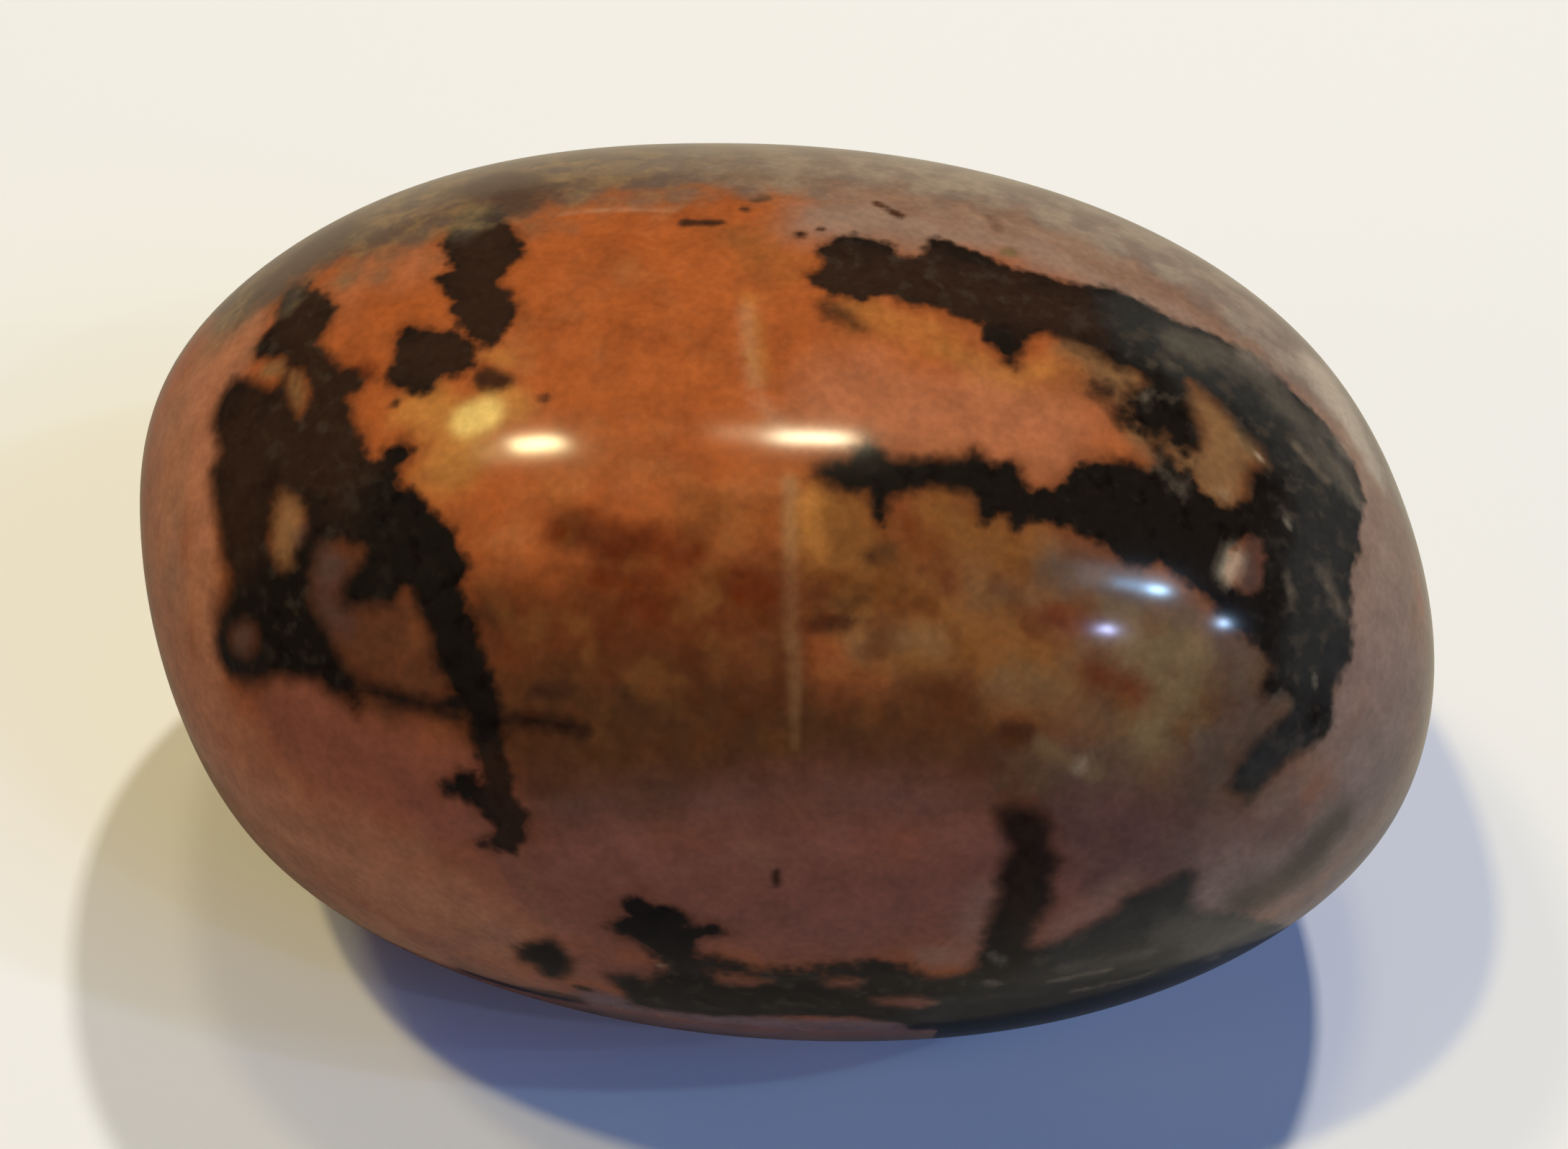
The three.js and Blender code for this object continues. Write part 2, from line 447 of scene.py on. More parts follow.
vein_depth = np.full(len(skin_points), -DEPTH_LIMIT)
for outline in VEIN_OUTLINES.values():
    vein_depth = np.maximum(vein_depth, depth_in_outline(outline))
for half_width, line in SEEN_THREADS.values():
    distance = distance_to(lay_on_skin(line, seen_at, OUTLINE_STEP), DEPTH_LIMIT)
    vein_depth = np.maximum(vein_depth, half_width - distance)
for outline in VEIN_GAPS.values():
    vein_depth = np.minimum(vein_depth, -depth_in_outline(outline))
lobes = np.array([
    noise.fractal(Vector(point) / HIDDEN_LOBE, LOBE_SMOOTHNESS, LOBE_SPREAD, LOBE_LAYERS)
    for point in skin_points
])
noise.seed_set(BEND_SEED)
bends = np.array([noise.noise_vector(Vector(point) / HIDDEN_BEND_LENGTH) for point in skin_points])
bent_points = skin_points + HIDDEN_BEND * bends
for half_width, line in HIDDEN_THREADS.values():
    pieces = lay_on_skin(line, met_at, HIDDEN_STEP)
    distance = distance_to(pieces, 2 * half_width + DEPTH_LIMIT, bent_points)
    depth = half_width - distance + HIDDEN_SWELL * half_width * lobes
    vein_depth = np.maximum(vein_depth, depth - RIM_LOSS * np.maximum(0, turned_to_camera - RIM_LIMIT))

# The clouds and patches
# Pink manganese silicate, stained orange, brown and olive by iron and manganese, under a grey-green
# crust along its upper back edge and with one old crack that healed pale. All is polished flat.
# Some patches and marks also hold painted light: shade across the lower middle, a glow by the left glint,
# haze round the cool glint, sparkle in the right band and sheen at the right end.

# Each kind has a colour and the size in mm of its ragged outline, and lies where its places say: a
# half width in mm, a strength, and a line through photo pixels. Later kinds lie over earlier ones.
GROUND_PATCHES = {
    # Umber darkens the lower middle: partly the stone's own brown, partly painted shade.
    "umber": ((0.125, 0.046, 0.021), 4.0, {
        "lower middle": (2.6, 1.0, [(720, 1050), (1000, 1062), (1330, 1070), (1450, 1090)]),
        "beside the long vein": (1.6, 0.8, [(690, 960), (720, 1040)]),
    }),
    "rose": ((0.40, 0.13, 0.052), 3.0, {
        "beside the top vein": (2.4, 0.8, [(470, 400), (560, 350)]),
        "right of the glint": (3.0, 1.0, [(1200, 560), (1330, 585), (1450, 600)]),
    }),
    "ruddy": ((0.27, 0.083, 0.047), 3.0, {
        "low left field": (3.8, 1.0, [(420, 1000), (500, 1050), (620, 1110)]),
    }),
    "mauve": ((0.245, 0.086, 0.055), 3.0, {
        "low field": (5.4, 1.0, [(780, 1230), (1000, 1240), (1290, 1230), (1500, 1220)]),
        "round the lower band": (2.4, 1.0, [(800, 1340), (960, 1380), (1150, 1390), (1320, 1390)]),
        "right of the lower vein": (2.6, 1.0, [(1500, 1180), (1600, 1230), (1500, 1320)]),
    }),
    "dusky mauve": ((0.135, 0.060, 0.045), 3.0, {
        "low right field": (3.6, 1.0, [(1500, 1120), (1600, 1150), (1740, 1130)]),
        "over the low field": (1.8, 0.7, [(780, 1110), (1000, 1110), (1300, 1110)]),
        "right end of the low field": (2.4, 0.9, [(1560, 1200), (1700, 1190)]),
    }),
    "dusty": ((0.280, 0.172, 0.120), 3.5, {
        "over the right network": (3.4, 1.0, [(1200, 290), (1350, 305), (1550, 370), (1700, 450)]),
        "right side": (4.8, 1.0, [(1850, 520), (1930, 700), (1940, 900), (1910, 1080)]),
        "along the right band": (
            2.4, 1.0, [(1700, 470), (1830, 570), (1895, 700), (1890, 880), (1850, 1010)]),
        "low right side": (4.4, 1.0, [(1880, 1120), (1800, 1210), (1730, 1240)]),
        "under the right band": (1.6, 0.8, [(1770, 1110), (1830, 1060)]),
        "left side": (2.4, 0.8, [(320, 470), (245, 600), (225, 780), (240, 900)]),
    }),
    "pale pink": ((0.42, 0.165, 0.088), 3.5, {
        "low left field": (4.2, 1.0, [(290, 1050), (410, 1160), (550, 1240), (680, 1300)]),
        "below the left mass": (2.2, 0.8, [(280, 960), (340, 1030)]),
        "left side": (3.4, 0.75, [(300, 500), (225, 640), (215, 800), (250, 960)]),
        "beside the left mass": (1.6, 0.9, [(330, 470), (285, 560), (280, 740), (288, 920)]),
    }),
    "pale layer": ((0.35, 0.225, 0.155), 2.4, {
        "under the crust": (0.9, 0.9, [(1120, 255), (1290, 276), (1420, 312), (1560, 355), (1700, 430)]),
        "right side": (1.6, 1.0, [(1790, 490), (1860, 570), (1905, 650)]),
    }),
    "greyish pink": ((0.30, 0.140, 0.090), 2.2, {
        "lower left rim": (1.2, 0.5, [(620, 1310), (700, 1300)]),
        "left of the lower vein": (1.1, 0.7, [(1290, 1325), (1350, 1325), (1365, 1240)]),
        "right of the lower vein": (1.2, 0.7, [(1480, 1290), (1560, 1235)]),
        "lower right": (1.8, 0.5, [(1700, 1170), (1760, 1160)]),
    }),
    "purple": ((0.17, 0.100, 0.110), 2.0, {
        "under the lower band": (1.2, 1.0, [(830, 1388), (960, 1408), (1100, 1424), (1290, 1424)]),
    }),
    "brown tan": ((0.150, 0.074, 0.034), 3.5, {
        "under the right network": (4.6, 1.0, [(1330, 840), (1480, 880), (1620, 940), (1720, 1000)]),
        "round the right arms": (1.8, 0.8, [(1500, 490), (1570, 560), (1640, 640), (1700, 600)]),
    }),
    # Middle brown darkens the middle band: partly the stone's own brown, partly painted shade.
    "middle brown": ((0.132, 0.033, 0.008), 3.0, {
        "left of the crack": (3.0, 1.0, [(710, 880), (860, 880), (1050, 880)]),
        "right of the left mass": (1.6, 0.7, [(650, 980), (700, 920)]),
    }),
    "olive brown": ((0.225, 0.082, 0.018), 2.6, {
        "right of the crack": (2.4, 1.0, [(1150, 720), (1200, 820), (1290, 880)]),
        "under the right network": (2.0, 0.9, [(1310, 720), (1420, 760)]),
        "towards the olive patch": (2.2, 0.9, [(1350, 890), (1460, 930)]),
        "left of the crack": (1.4, 0.5, [(980, 700), (1060, 720)]),
        "over the middle glint": (1.8, 0.45, [(1030, 330), (1080, 380)]),
    }),
    # Dark brown darkens the lower middle: partly the stone's own brown, partly painted shade.
    "dark brown": ((0.084, 0.030, 0.010), 3.0, {
        "lower middle": (2.8, 1.0, [(750, 1000), (900, 1005), (1080, 1000)]),
        "right of the lower middle": (2.6, 0.75, [(1080, 1000), (1330, 1020), (1420, 1050)]),
        "over the low field": (1.6, 0.6, [(760, 1080), (900, 1080)]),
    }),
    "gap brown": ((0.112, 0.036, 0.015), 1.6, {
        "gap in the left mass": (2.4, 1.0, [(520, 870), (570, 910), (605, 950)]),
        "pink loop": (1.8, 1.0, [(332, 862), (345, 912)]),
        "round the mauve gap": (2.0, 1.0, [(500, 760), (460, 800), (480, 870), (500, 930), (540, 955)]),
    }),
    "grey brown": ((0.110, 0.068, 0.044), 2.2, {
        "right of the olive patch": (2.0, 1.0, [(1720, 880), (1730, 960), (1680, 1050)]),
        "beside the right band": (1.2, 1.0, [(1765, 960), (1745, 1030)]),
        # The patch round the cool glint is partly the stone's grey and partly painted haze from the glint.
        "painted haze round the cool glint": (1.5, 0.8, [(1470, 790), (1560, 820), (1640, 850)]),
        "under the olive patch": (1.4, 0.5, [(1400, 1070), (1560, 1060)]),
        "lower right": (1.6, 0.9, [(1735, 1245), (1800, 1215), (1850, 1150)]),
    }),
    "tan": ((0.235, 0.114, 0.044), 1.2, {
        "left island": (1.2, 1.0, [(398, 700), (402, 770)]),
        "low right of the crack": (1.0, 0.7, [(1200, 888), (1300, 892)]),
        "right island": (1.6, 1.0, [(1670, 560), (1700, 620), (1700, 690)]),
        "right island's lobe": (0.8, 1.0, [(1735, 620), (1755, 640)]),
        "between the right arms": (1.0, 0.9, [(1500, 480), (1560, 520), (1590, 590)]),
        "arm of the right island": (0.9, 0.9, [(1620, 620), (1655, 645)]),
        "gap at the top left": (0.6, 0.9, [(375, 512), (392, 508), (412, 530), (415, 560)]),
        "streak down the left": (0.5, 0.5, [(722, 1190), (738, 1230), (756, 1275)]),
    }),
    "olive": ((0.195, 0.122, 0.055), 1.6, {
        "olive patch": (1.6, 1.0, [(1560, 890), (1640, 920), (1640, 970), (1600, 1005)]),
        "left of the olive patch": (1.4, 0.6, [(1400, 950), (1460, 950)]),
        "over the right network": (0.5, 1.0, [(1400, 350)]),
        "right island's edge": (0.5, 0.9, [(1722, 590), (1735, 620)]),
        "streak under the olive patch": (0.5, 0.6, [(1440, 1030), (1520, 1075)]),
    }),
    "healed crack": ((0.33, 0.165, 0.065), 4.0, {
        "below the glint": (0.46, 0.60, [(1097, 670), (1098, 750), (1099, 850), (1103, 950), (1105, 1035)]),
    }),
    "peach": ((0.46, 0.18, 0.038), 1.6, {
        "left of the glint": (1.5, 0.9, [(590, 560), (640, 600), (620, 650)]),
        "under the top vein": (0.9, 0.8, [(690, 540), (720, 560)]),
        "corner of the top vein": (0.6, 0.6, [(672, 494), (700, 500)]),
        "crack's head": (0.8, 0.5, [(1040, 420), (1050, 520)]),
        "under the upper arm": (1.3, 0.5, [(1190, 440), (1300, 460), (1380, 520), (1460, 520)]),
        "beside the crack": (0.8, 0.6, [(1125, 690), (1130, 780)]),
    }),
    "brick": ((0.125, 0.022, 0.004), 1.6, {
        "above the glints": (1.3, 0.3, [(740, 450), (860, 465), (980, 480)]),
        "right of the long vein": (1.2, 0.85, [(790, 735), (860, 755), (960, 755)]),
        "low in it": (0.9, 0.8, [(840, 800), (900, 800)]),
        "under the middle": (0.8, 1.0, [(880, 840), (905, 850)]),
        "beside the crack": (0.8, 1.0, [(1005, 810), (1060, 825)]),
        "beside the left mass": (0.8, 0.8, [(480, 525), (505, 520)]),
        "right of the crack": (1.2, 0.7, [(1260, 740), (1310, 790)]),
        "over the olive patch": (0.7, 0.9, [(1465, 850), (1490, 860)]),
        "in the olive patch": (1.2, 0.7, [(1520, 930), (1570, 965)]),
    }),
    "brown": ((0.050, 0.016, 0.006), 1.0, {
        "blob's brown neighbour": (0.7, 1.0, [(675, 525), (693, 530)]),
        "dot over the left glint": (0.35, 0.9, [(757, 553)]),
        "dot by the left mass": (0.3, 0.9, [(549, 561)]),
        "right of the crack": (0.9, 0.7, [(1140, 830), (1190, 835)]),
        "dot right of the crack": (0.5, 0.9, [(1130, 866), (1175, 862)]),
        "dot by the long vein": (0.6, 0.8, [(660, 855), (710, 850)]),
        "line by the long vein": (0.5, 0.8, [(740, 965), (790, 960)]),
        "dot low in the middle": (0.5, 0.8, [(860, 958), (885, 958)]),
        "second dot low in the middle": (0.5, 0.6, [(865, 1050)]),
        "stain under the right network": (0.8, 0.7, [(1150, 425), (1185, 450)]),
        "dot under the right network": (0.5, 0.9, [(1215, 770), (1235, 765)]),
        "low right": (0.9, 0.5, [(1640, 1010), (1670, 990)]),
        "dot under the olive patch": (0.6, 1.0, [(1400, 1015), (1420, 1018)]),
        "smear under the crust": (0.3, 1.0, [(950, 309), (1000, 309)]),
        "dash in the crust": (0.2, 1.0, [(941, 206), (954, 206)]),
        "spot under the crust": (0.35, 1.0, [(1050, 278), (1062, 274)]),
        "second spot under the crust": (0.3, 1.0, [(1034, 290)]),
        "spot left of the right network": (0.3, 1.0, [(1112, 325)]),
        "second spot left of the right network": (0.22, 1.0, [(1140, 317)]),
        "thread under the crust": (0.3, 0.9, [(1218, 283), (1250, 300)]),
        "dot under the crust": (0.15, 1.0, [(1261, 255)]),
        "dash under the crust": (0.15, 1.0, [(1317, 271), (1332, 273)]),
        "second dash under the crust": (0.15, 1.0, [(1364, 280), (1376, 282)]),
        "dot by the right crust": (0.15, 1.0, [(1762, 436)]),
        "thread by the left rim": (0.35, 0.9, [(327, 453), (347, 426), (367, 404)]),
        "thread under the left crust": (0.25, 0.7, [(541, 315), (560, 308), (586, 302)]),
        "tick low in front": (0.25, 0.9, [(1077, 1212), (1077, 1226)]),
        "strip by the lower left rim": (0.5, 0.8, [(690, 1364), (745, 1376), (800, 1386)]),
        "red spot by the lower rim": (0.35, 1.0, [(805, 1371), (816, 1374)]),
    }),
    "dark mauve": ((0.088, 0.044, 0.033), 1.4, {
        "mauve gap": (1.3, 1.0, [(440, 750), (450, 800), (460, 860)]),
        "pink loop": (0.9, 0.9, [(338, 872), (340, 902)]),
        "right mauve island": (1.1, 1.0, [(1748, 750), (1744, 815)]),
        "smudge under the crust": (0.45, 0.7, [(1372, 295), (1385, 318)]),
    }),
    # Light: a painted highlight, the warm glow that spreads from the left glint, laid into the colour.
    "light": ((0.80, 0.52, 0.15), 5.0, {
        "painted glow by the left glint": (0.85, 1.1, [(650, 583), (674, 573)]),
    }),
}
VEIN_PATCHES = {
    "warm black": ((0.024, 0.010, 0.005), 1.2, {
        "top vein": (2.0, 1.0, [(680, 310), (665, 440)]),
        "blob": (2.0, 0.9, [(560, 500), (640, 490)]),
        "left mass": (2.6, 0.9, [(420, 430), (440, 560), (460, 650), (340, 600), (330, 740)]),
        "upper arm": (2.4, 0.9, [(1150, 380), (1300, 390), (1480, 430)]),
        "brown in the left mass": (1.2, 0.8, [(480, 520), (500, 620)]),
        "lower vein": (1.4, 0.6, [(1420, 1130), (1420, 1290)]),
        "foot of the long vein": (1.2, 0.9, [(690, 1070), (715, 1170)]),
    }),
    "grey black": ((0.024, 0.023, 0.020), 1.4, {
        "right band": (2.6, 1.0, [(1600, 450), (1780, 570), (1850, 700), (1840, 900)]),
        "foot of the right band": (1.4, 0.7, [(1800, 1000), (1750, 1060)]),
        "lower band": (2.0, 0.8, [(1300, 1400), (1400, 1380), (1700, 1330)]),
        "right of the lower band": (2.2, 1.0, [(1500, 1320), (1640, 1250), (1700, 1300)]),
    }),
    "dark grey": ((0.082, 0.068, 0.050), 1.3, {
        "outer edge of the right band": (1.1, 0.9, [(1640, 475), (1740, 515), (1810, 590), (1865, 670)]),
        "right of the lower band": (1.8, 0.9, [(1640, 1290), (1700, 1300), (1800, 1250)]),
        "lower rim": (0.8, 0.6, [(1480, 1345), (1600, 1320)]),
    }),
    "fleck": ((0.115, 0.086, 0.058), 0.6, {
        "over the right arms": (0.4, 0.5, [(1598, 540), (1590, 550)]),
        "second over the right arms": (0.4, 0.4, [(1620, 505), (1635, 512)]),
        "third over the right arms": (0.4, 0.6, [(1655, 497), (1665, 505)]),
        "left of the right island": (0.7, 0.4, [(1600, 640), (1640, 670)]),
        "streak in the right band": (0.35, 0.9, [(1797, 616), (1840, 665)]),
        "second streak in the right band": (0.35, 0.8, [(1850, 640), (1886, 700)]),
        "third streak in the right band": (0.4, 0.4, [(1786, 645), (1808, 668)]),
        "fourth streak in the right band": (0.3, 0.4, [(1830, 610), (1872, 668)]),
        "stripe in the right band": (0.35, 0.6, [(1788, 800), (1794, 842)]),
        "wide stripe in the right band": (0.6, 0.6, [(1838, 795), (1862, 850)]),
        "foot of the right band": (0.5, 0.9, [(1752, 1000), (1782, 975)]),
        "streak in the lower band": (0.25, 0.8, [(1460, 1362), (1500, 1354), (1540, 1346)]),
        "second streak in the lower band": (0.3, 0.6, [(1490, 1376), (1560, 1362), (1600, 1350)]),
        "third streak in the lower band": (0.25, 0.8, [(1262, 1388), (1297, 1393)]),
        "head of the lower vein": (0.4, 0.7, [(1375, 1325), (1388, 1335)]),
        "in the lower band": (0.3, 0.7, [(1370, 1362), (1384, 1366)]),
    }),
}
# Where the veins break up into flecks.
BROKEN_VEINS = {
    "between the right arms": (1.0, 0.4, [(1490, 510), (1550, 540), (1580, 590)]),
    "left of the right island": (0.6, 0.4, [(1620, 600), (1650, 660)]),
    "head of the left mass": (1.2, 0.3, [(380, 400), (440, 380)]),
    "head of the top vein": (1.0, 0.3, [(650, 280), (720, 270)]),
    "lower band": (0.9, 0.3, [(860, 1330), (1050, 1350), (1250, 1350)]),
}
# Where their edges are soft.
SOFT_VEINS = {
    "left mass": (5.0, 1.0, [(330, 600), (330, 850), (430, 940)]),
    "gap in the left mass": (2.0, 1.0, [(440, 780), (560, 900)]),
    "lower vein": (2.4, 1.0, [(1420, 1130), (1420, 1290)]),
    "lower band": (3.0, 1.0, [(760, 1340), (1000, 1370), (1400, 1380), (1640, 1260)]),
    "middle arm": (1.6, 0.7, [(1130, 640), (1330, 660)]),
    "right island": (2.2, 1.0, [(1500, 500), (1600, 580), (1700, 560), (1740, 640)]),
    "foot of the right band": (2.0, 0.8, [(1800, 960), (1740, 1060)]),
    "line by the long vein": (0.8, 1.0, [(500, 950), (550, 972), (640, 992), (745, 1001), (808, 1014)]),
}
# Where the veins are full of small brown and grey flecks.
FLECKED_VEINS = {
    "left mass": (3.6, 0.45, [(420, 440), (440, 620), (420, 850)]),
    "right band": (2.4, 1.0, [(1600, 500), (1780, 600), (1850, 780), (1800, 980)]),
    "lower band": (2.6, 0.8, [(880, 1370), (1300, 1380), (1650, 1290)]),
    "upper arm": (1.6, 0.5, [(1180, 360), (1480, 430)]),
}
# Where the ground is full of small brick-red and tan clouds.
MOTTLED_GROUND = {
    "middle": (5.0, 1.0, [(780, 860), (1050, 860), (1420, 850)]),
    "right": (3.0, 0.7, [(1500, 900), (1640, 980)]),
    "upper right": (2.4, 0.5, [(1250, 470), (1450, 530)]),
}
# Pale marks that lie over everything: a healed crack, pale spots and lines, and painted sparkle.
PALE_MARKS = {
    "healed crack, top": (0.4, 0.10, [(1035, 430), (1040, 500), (1050, 550), (1088, 600)]),
    "light spot on the right": (0.42, 0.5, [(1704, 796), (1714, 774)]),
    "dot by the olive patch": (0.3, 0.2, [(1497, 1066), (1508, 1060)]),
    # A faint pale line runs along the top.
    "pale line at the top": (0.15, 0.16, [(782, 297), (850, 290), (943, 291)]),
    "edge of the lower right rim": (0.2, 0.2, [(1679, 1331), (1714, 1323)]),
    "spot in the right island": (0.25, 0.2, [(1699, 683)]),
    "fleck in the lower band": (0.2, 0.25, [(918, 1340)]),
    # The first three specks in the right band are painted sparkle, where grains of the stone glint.
    "speck in the right band": (0.12, 0.9, [(1785, 722)]),
    "second speck in the right band": (0.1, 0.8, [(1777, 699)]),
    "third speck in the right band": (0.1, 0.7, [(1823, 947)]),
    "fourth speck in the right band": (0.1, 0.6, [(1750, 634)]),
}
# Patches on the crust: veins that fade into it, and a pale patch at the right end that is partly the
# crust's own colour and partly painted sheen.
CRUST_PATCHES = {
    "pale end and sheen": ((0.48, 0.38, 0.27), 2.0, {
        "right end": (1.5, 1.0, [(1830, 515), (1870, 575), (1903, 645)]),
    }),
    "vein head": ((0.050, 0.038, 0.029), 1.2, {
        "top vein": (1.6, 1.0, [(655, 262), (700, 250), (725, 285)]),
        "left mass": (2.2, 1.1, [(385, 400), (412, 368), (450, 335)]),
    }),
}
# Where some kinds go on past the rim, as lines through (lon, lat) on the stone.
PAST_THE_RIM = {
    "mauve": {
        "low in front": (5.5, 1.0, [(-128, -13), (-105, -17), (-85, -19), (-62, -17), (-40, -12)]),
        "low on the back": (5.0, 0.9, [(150, -16), (126, -22), (100, -26), (70, -24)]),
    },
    "dusty": {
        "right end": (5.4, 1.0, [(-46, -14), (-32, -10), (-15, 0), (0, 9), (8, 18)]),
        "under the crust": (3.4, 0.9, [(150, 20), (118, 26), (84, 26), (54, 18), (28, 8)]),
    },
    "pale pink": {
        "left end": (4.0, 1.0, [(-178, 10), (-160, 4), (-146, -3), (-130, -9)]),
        "middle of the back": (5.0, 1.0, [(150, 2), (120, 6), (96, 8)]),
    },
    "ruddy": {"right of the back": (4.6, 0.9, [(76, 6), (56, -2), (40, -12)])},
    "brown tan": {
        "back": (3.0, 0.9, [(84, -8), (62, -14)]),
        "left end": (2.6, 0.7, [(-168, -22), (170, -14)]),
    },
    "dark brown": {"low on the back": (2.6, 0.8, [(104, -14), (88, -20), (66, -34)])},
    "purple": {"low in front": (1.3, 1.0, [(-62, -17), (-80, -19), (-104, -17)])},
}
# The crust, as half widths in mm and lines through (lon, lat) on the stone.
CRUST_BANDS = {
    "left end": (3.4, [(168, 27), (154, 34)]),
    "top": (5.4, [(154, 34), (138, 42), (119, 46), (97, 48)]),
    "right end": (4.6, [(97, 48), (74, 46), (56, 42), (40, 35), (24, 27), (14, 17)]),
    "tongue down the back": (2.6, [(126, 34), (120, 20), (108, 8)]),
    "tongue on the right": (2.2, [(66, 34), (58, 20), (60, 8)]),
    "tongue on the left": (2.0, [(160, 26), (172, 12)]),
}
CRUST_LIMIT = 3.0
# A patch is worked out as far as this many of its half widths from its line.
PATCH_REACH = 2.2
# The facing away from the camera at which the hidden sides' colours start and are full.
HIDDEN_START = -0.1
HIDDEN_FULL = 0.2


def patch_strength(places, find=seen_at, step=OUTLINE_STEP):
    """How strong a kind of patch is at each point: full on its lines, fading out with distance."""
    strengths = np.zeros(len(skin_points))
    for half_width, strength, line in places.values():
        distance = distance_to(lay_on_skin(line, find, step), PATCH_REACH * half_width)
        strengths = np.maximum(strengths, strength * np.exp(-(distance / half_width) ** 2))
    return strengths


def store(name, values):
    """Keeps one number for each point of the skin, for the finish to read."""
    layer = stone_mesh.attributes.new(name, "FLOAT", "POINT")
    layer.data.foreach_set("value", values.astype(np.float32))


def smooth_step(values, low, high):
    """Rises smoothly from 0 to 1 as the values go from low to high."""
    share = np.clip((values - low) / (high - low), 0, 1)
    return share * share * (3 - 2 * share)


for kind, (_, _, places) in {**GROUND_PATCHES, **VEIN_PATCHES, **CRUST_PATCHES}.items():
    strengths = patch_strength(places)
    if kind in PAST_THE_RIM:
        past = patch_strength(PAST_THE_RIM[kind], met_at, HIDDEN_STEP)
        strengths = np.maximum(strengths, past)
    store(kind, strengths)
store("broken", patch_strength(BROKEN_VEINS))
store("soft edge", patch_strength(SOFT_VEINS))
store("pale", patch_strength(PALE_MARKS))
store("mottled", patch_strength(MOTTLED_GROUND))
store("flecked", patch_strength(FLECKED_VEINS))
store("vein depth", np.clip(vein_depth, -DEPTH_LIMIT, DEPTH_LIMIT))
crust_depth = np.full(len(skin_points), -CRUST_LIMIT)
for half_width, line in CRUST_BANDS.values():
    distance = distance_to(lay_on_skin(line, met_at, HIDDEN_STEP), half_width + CRUST_LIMIT)
    crust_depth = np.maximum(crust_depth, half_width - distance)
store("crust depth", crust_depth)
store("hidden", smooth_step(-turned_to_camera, HIDDEN_START, HIDDEN_FULL))

# The polished finish
# Tumbling left a glassy skin over the colours. Clouds, soft edges and the fine grain come from noise
# whose sizes are in mm on the stone's own axes, so the pattern stays with the stone.
ORANGE_BROWN = (0.375, 0.092, 0.020, 1)
HIDDEN_PINK = (0.36, 0.125, 0.062, 1)
HIDDEN_DUSK = (0.16, 0.052, 0.018, 1)
BRICK = (0.17, 0.032, 0.006, 1)
TAN = (0.45, 0.21, 0.075, 1)
PALE = (0.62, 0.50, 0.34, 1)
DARK_BRICK = (0.095, 0.020, 0.005, 1)
OLIVE_TAN = (0.24, 0.095, 0.022, 1)
DARK_CRUST = (0.090, 0.070, 0.055, 1)
OLIVE_CRUST = (0.195, 0.132, 0.065, 1)
GREY_CRUST = (0.165, 0.120, 0.095, 1)
PALE_CRUST = (0.265, 0.205, 0.150, 1)
RUST = (0.11, 0.028, 0.007, 1)
DUN = (0.225, 0.082, 0.030, 1)
VEIN_BLACK = (0.0055, 0.0032, 0.0022, 1)
FLECK_BROWN = (0.058, 0.044, 0.030, 1)
SEED_SHIFT = 37.0
# Soft clouds: size in mm, seed, the noise at which the mask starts and is full, and its detail.
CLOUDS = {
    "hidden pink": (16, 1.0, 0.42, 0.62, 2.0),
    "hidden dusk": (11, 2.0, 0.52, 0.7, 2.0),
    "brick": (4, 5.0, 0.5, 0.8, 4.0),
    "tan": (3, 6.0, 0.52, 0.8, 4.0),
    "brick mottles": (2.3, 13.0, 0.48, 0.66, 2.0),
    "tan mottles": (2.0, 14.0, 0.48, 0.7, 2.0),
    "shading": (1.6, 7.0, 0.3, 0.7, 4.0),
    "vein flecks": (0.8, 16.0, 0.5, 0.7, 4.0),
    "left crust": (1.1, 9.0, 0.38, 0.68, 4.0),
    "right crust": (2.0, 15.0, 0.4, 0.62, 4.0),
    "pale marks": (0.8, 12.0, 0.25, 0.5, 2.0),
    "grain": (0.35, 11.0, 0.3, 0.7, 3.0),
}
# How much of each layer shows.
BRICK_SHARE = 0.45
TAN_SHARE = 0.3
BRICK_MOTTLE_SHARE = 0.6
TAN_MOTTLE_SHARE = 0.4
FRINGE_SHARE = 0.6
HALO_SHARE = 0.45
FLECK_SHARE = 0.7
CRUST_SHARE = 0.85
SHADED_BRIGHTNESS = 0.80
GRAIN_SWING = 0.16
GRAIN_BRIGHTNESS = 0.92
# How far layers reach past their own edges, and how those edges run, in mm.
FRINGE_REACH = 1.2
HALO_REACH = 0.3
VEIN_REACH = 0.06
CRUST_REACH = 0.2
FRINGE_EDGE = {"Lobe": 1.7, "Swing": 2.4, "Softness": 1.6}
HALO_EDGE = {"Lobe": 1.6, "Swing": 0.9, "Softness": 0.5}
CRUST_EDGE = {"Lobe": 1.7, "Swing": 2.4, "Softness": 1.5}
# A vein's edge swings more where the vein is broken or hidden, and less and softer where it is soft.
VEIN_LOBE = 0.55
VEIN_SWING = 0.34
BROKEN_SWING = 0.9
SOFT_SWING = -0.16
HIDDEN_SWING = 0.3
VEIN_SOFTNESS = 0.25
SOFT_SOFTNESS = 0.28
TEETH_PER_LOBE = 1.7
EDGE_DETAIL = 3.0
# The patch strengths at which a patch starts to show and is full.
PATCH_START = 0.12
PATCH_FULL = 0.95
# The first seed of each table of patches.
GROUND_SEED = 10
VEIN_SEED = 40
CRUST_SEED = 60
# Where along the stone, in m, the left crust has given way to the right one.
LEFT_CRUST_END = -0.012
RIGHT_CRUST_START = 0.004
POLISH_ROUGHNESS = 0.12
POLISH_IOR = 1.38


def ramp(tree, value, low, high):
    """A mask that rises smoothly from 0 to 1 as a value goes from low to high."""
    return add_node(tree, "ShaderNodeMapRange", (value, low, high), interpolation_type="SMOOTHSTEP")


